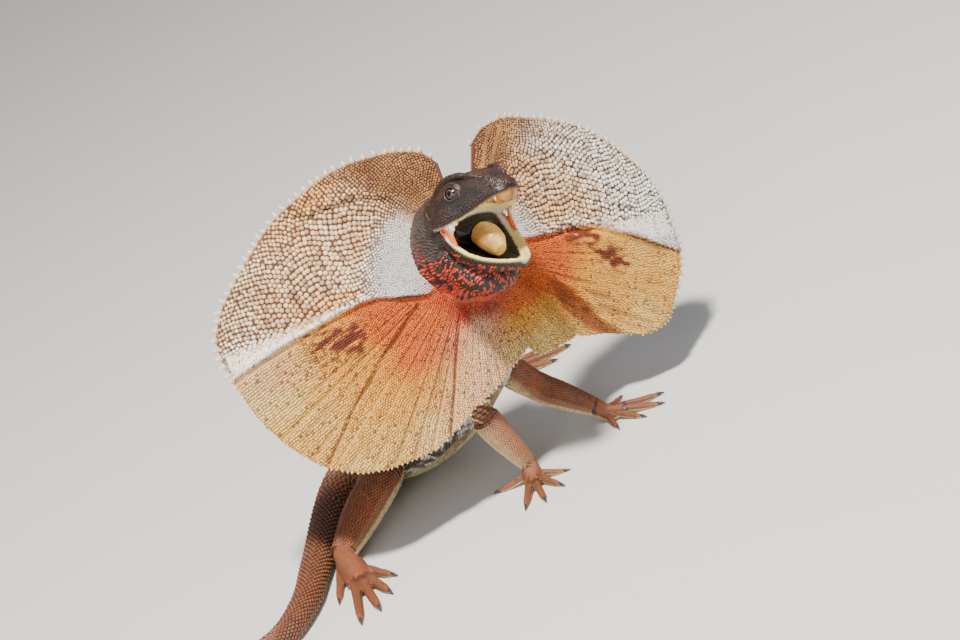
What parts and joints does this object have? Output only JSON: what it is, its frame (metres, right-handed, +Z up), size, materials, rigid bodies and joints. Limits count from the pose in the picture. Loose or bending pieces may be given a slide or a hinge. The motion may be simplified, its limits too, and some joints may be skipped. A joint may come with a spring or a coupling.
{
  "type": "frilled lizard model",
  "caption": "Life-size still model of a frilled lizard, standing with mouth open and neck frill spread, tail laid on the floor.",
  "frame": {"origin": "middle of the footprint box, on the floor that the feet and tail rest on", "axes": "+Z up, the animal faces -Y with its left side towards +X, and the tail's end runs off along +Y"},
  "size_m": [0.4268, 0.4856, 0.2261],
  "materials": {
    "hide": "satin, keeled scales",
    "head_hide": "satin, small scales",
    "frill_skin": "matt, small scales on thin skin",
    "mouth_skin": "moist",
    "tongue": "moist",
    "eye": "gloss",
    "claw": "horn"
  },
  "bodies": {
    "root": {"cheek_left": "mouth_skin", "cheek_right": "mouth_skin", "ear_left": "hide", "ear_right": "hide", "eye_left": "eye", "eye_right": "eye", "foot_left": "hide", "foot_right": "hide", "forearm_left": "hide", "forearm_right": "hide", "frill_left_lower": "frill_skin", "frill_left_upper": "frill_skin", "frill_right_lower": "frill_skin", "frill_right_upper": "frill_skin", "frill_throat": "frill_skin", "hand_left": "hide", "hand_right": "hide", "head": "head_hide", "lower_jaw": "head_hide", "neck": "head_hide", "shank_left": "hide", "shank_right": "hide", "tail_1": "hide", "tail_2": "hide", "tail_3": "hide", "tail_4": "hide", "thigh_left": "hide", "thigh_right": "hide", "tongue": "tongue", "torso": "hide", "upper_arm_left": "hide", "upper_arm_right": "hide"}
  },
  "joints": []
}
